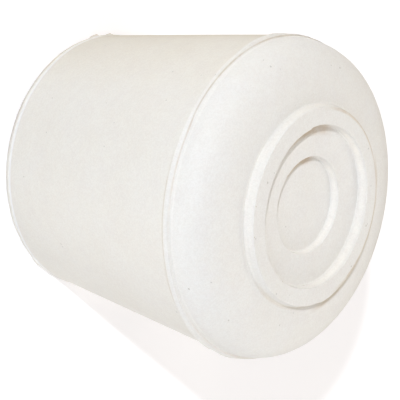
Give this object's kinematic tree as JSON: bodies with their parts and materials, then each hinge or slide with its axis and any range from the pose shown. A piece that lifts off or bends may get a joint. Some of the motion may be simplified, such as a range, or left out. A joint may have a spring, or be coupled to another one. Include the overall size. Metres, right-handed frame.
{
  "type": "slip-on rubber foot",
  "caption": "Round slip-on rubber foot: a tapered sleeve with a blind bore for a leg, and a domed end with a raised ring and stepped recesses on its sole.",
  "frame": {"origin": "centre of the mouth of the leg bore, in the plane of the rim that it stands on", "axes": "+Z along the bore, from the mouth to the sole, so the sole faces up"},
  "size_m": [0.0381, 0.038, 0.0351],
  "materials": {
    "rubber": "matt off-white moulded rubber"
  },
  "bodies": {
    "root": {"foot": "rubber"}
  },
  "joints": []
}
